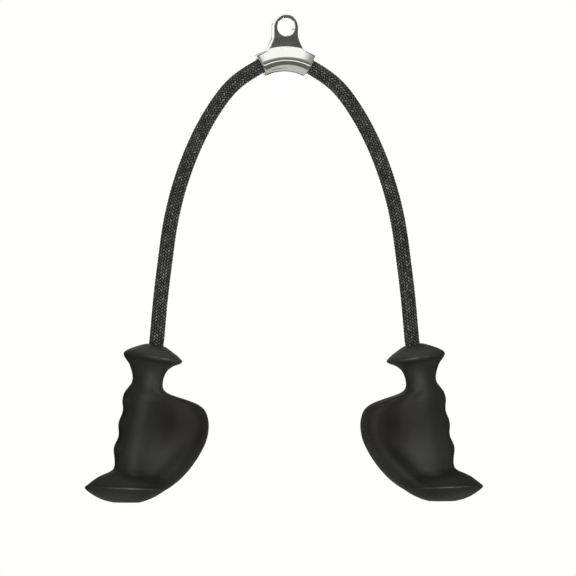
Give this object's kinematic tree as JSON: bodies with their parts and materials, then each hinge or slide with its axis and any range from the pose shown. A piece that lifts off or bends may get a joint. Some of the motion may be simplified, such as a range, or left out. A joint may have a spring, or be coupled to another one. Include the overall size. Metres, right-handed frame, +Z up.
{
  "type": "triceps rope attachment",
  "caption": "Splayed braided rope in a cast steel hanger with an eye, each end in a swivelling moulded grip with finger grooves and a wide foot ledge.",
  "frame": {"origin": "centre of the hanger's eye, in the middle of its lug's thickness", "axes": "+Z up along the hanging line, +X across the two grips towards the right one as seen from the front, +Y to the rear, along the eye's hole"},
  "size_m": [0.4062, 0.056, 0.4875],
  "materials": {
    "chrome": "polished plate on cast steel",
    "rope_sheath": "tight black herringbone braid",
    "rope_core": "undyed laid yarn",
    "grip_rubber": "matte moulded",
    "ferrule_steel": "zinc plated",
    "washer_nylon": "natural nylon",
    "plug_plastic": "matte moulded"
  },
  "bodies": {
    "hanger": {"hanger_casting": "chrome", "rope_sheath_arch": "rope_sheath", "rope_core_arch": "rope_core"},
    "leg_left": {"rope_sheath_leg_left": "rope_sheath", "rope_core_leg_left": "rope_core"},
    "leg_right": {"rope_sheath_leg_right": "rope_sheath", "rope_core_leg_right": "rope_core"},
    "rope_end_left": {"rope_sheath_tail_left": "rope_sheath", "rope_core_tail_left": "rope_core", "ferrule_left": "ferrule_steel", "thrust_washer_left": "washer_nylon"},
    "rope_end_right": {"rope_sheath_tail_right": "rope_sheath", "rope_core_tail_right": "rope_core", "ferrule_right": "ferrule_steel", "thrust_washer_right": "washer_nylon"},
    "grip_left": {"grip_left": "grip_rubber", "foot_plug_left": "plug_plastic"},
    "grip_right": {"grip_right": "grip_rubber", "foot_plug_right": "plug_plastic"}
  },
  "joints": [
    {"name": "leg_left_spread", "type": "hinge", "parent": "hanger", "child": "leg_left", "pos_m": [-0.02488, 0, -0.0389], "axis": [0, 1, 0], "range_deg": [-10, 40], "stiffness_Nm_per_rad": 2, "springref_deg": 11.46, "deforming": ["rope_sheath_leg_left", "rope_core_leg_left"]},
    {"name": "leg_right_spread", "type": "hinge", "parent": "hanger", "child": "leg_right", "pos_m": [0.02488, 0, -0.0389], "axis": [0, -1, 0], "range_deg": [-10, 40], "stiffness_Nm_per_rad": 2, "springref_deg": 11.46, "deforming": ["rope_sheath_leg_right", "rope_core_leg_right"]},
    {"name": "grip_left_tilt", "type": "hinge", "parent": "leg_left", "child": "rope_end_left", "pos_m": [-0.1308, 0, -0.317], "axis": [0, -1, 0], "range_deg": [-35, 40], "stiffness_Nm_per_rad": 0.6, "springref_deg": -1.72},
    {"name": "grip_right_tilt", "type": "hinge", "parent": "leg_right", "child": "rope_end_right", "pos_m": [0.1308, 0, -0.317], "axis": [0, 1, 0], "range_deg": [-35, 40], "stiffness_Nm_per_rad": 0.6, "springref_deg": -1.72},
    {"name": "grip_left_swivel", "type": "hinge", "parent": "rope_end_left", "child": "grip_left", "pos_m": [-0.1308, 0, -0.317], "axis": [-0.1908, 0, -0.9816], "continuous": true},
    {"name": "grip_right_swivel", "type": "hinge", "parent": "rope_end_right", "child": "grip_right", "pos_m": [0.1308, 0, -0.317], "axis": [0.1908, 0, -0.9816], "continuous": true}
  ]
}
